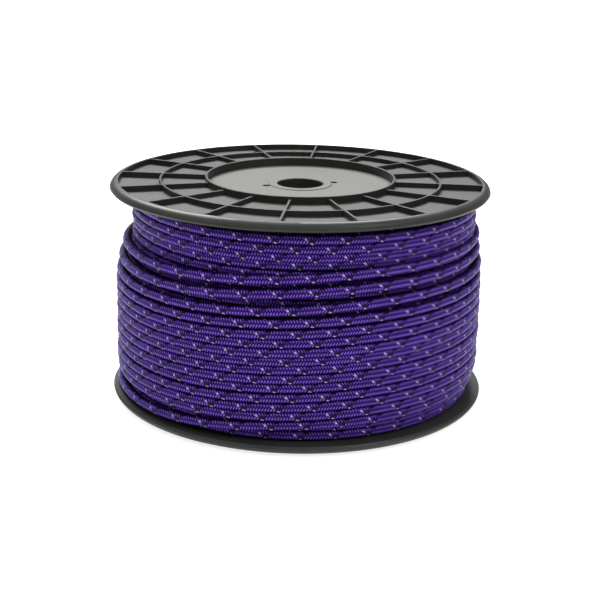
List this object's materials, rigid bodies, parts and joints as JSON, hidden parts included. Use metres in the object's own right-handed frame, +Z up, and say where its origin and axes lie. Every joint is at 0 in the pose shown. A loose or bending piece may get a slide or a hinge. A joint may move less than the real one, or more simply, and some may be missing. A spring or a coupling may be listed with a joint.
{
  "type": "spool of kernmantle cord",
  "caption": "Dark plastic spool with ribbed flanges, wound full of purple braided kernmantle cord with flecked tracer yarns, standing on one flange.",
  "frame": {"origin": "middle of the base, on the surface that the spool stands on", "axes": "+Z up along the spool's axis; +X to the right and -Y towards a viewer who faces the side drawn as the front"},
  "size_m": [0.25, 0.25, 0.147],
  "materials": {
    "spool_plastic": "satin moulded black-grey polystyrene",
    "rope_sheath": "braided purple nylon with light grey and black tracer yarns",
    "rope_core": "twisted white nylon strands",
    "rope_seal": "melted nylon"
  },
  "bodies": {
    "root": {"top_flange": "spool_plastic", "bottom_flange": "spool_plastic", "barrel": "spool_plastic", "rope_layer_01": "rope_sheath", "rope_layer_02": "rope_sheath", "rope_layer_03": "rope_sheath", "rope_layer_04": "rope_sheath", "rope_layer_05": "rope_sheath", "rope_layer_06": "rope_sheath", "rope_layer_07": "rope_sheath", "rope_layer_08": "rope_sheath", "rope_layer_09": "rope_sheath", "rope_layer_10": "rope_sheath", "rope_end_sheath": "rope_sheath", "rope_end_core": "rope_core", "rope_end_seal": "rope_seal"}
  },
  "joints": []
}
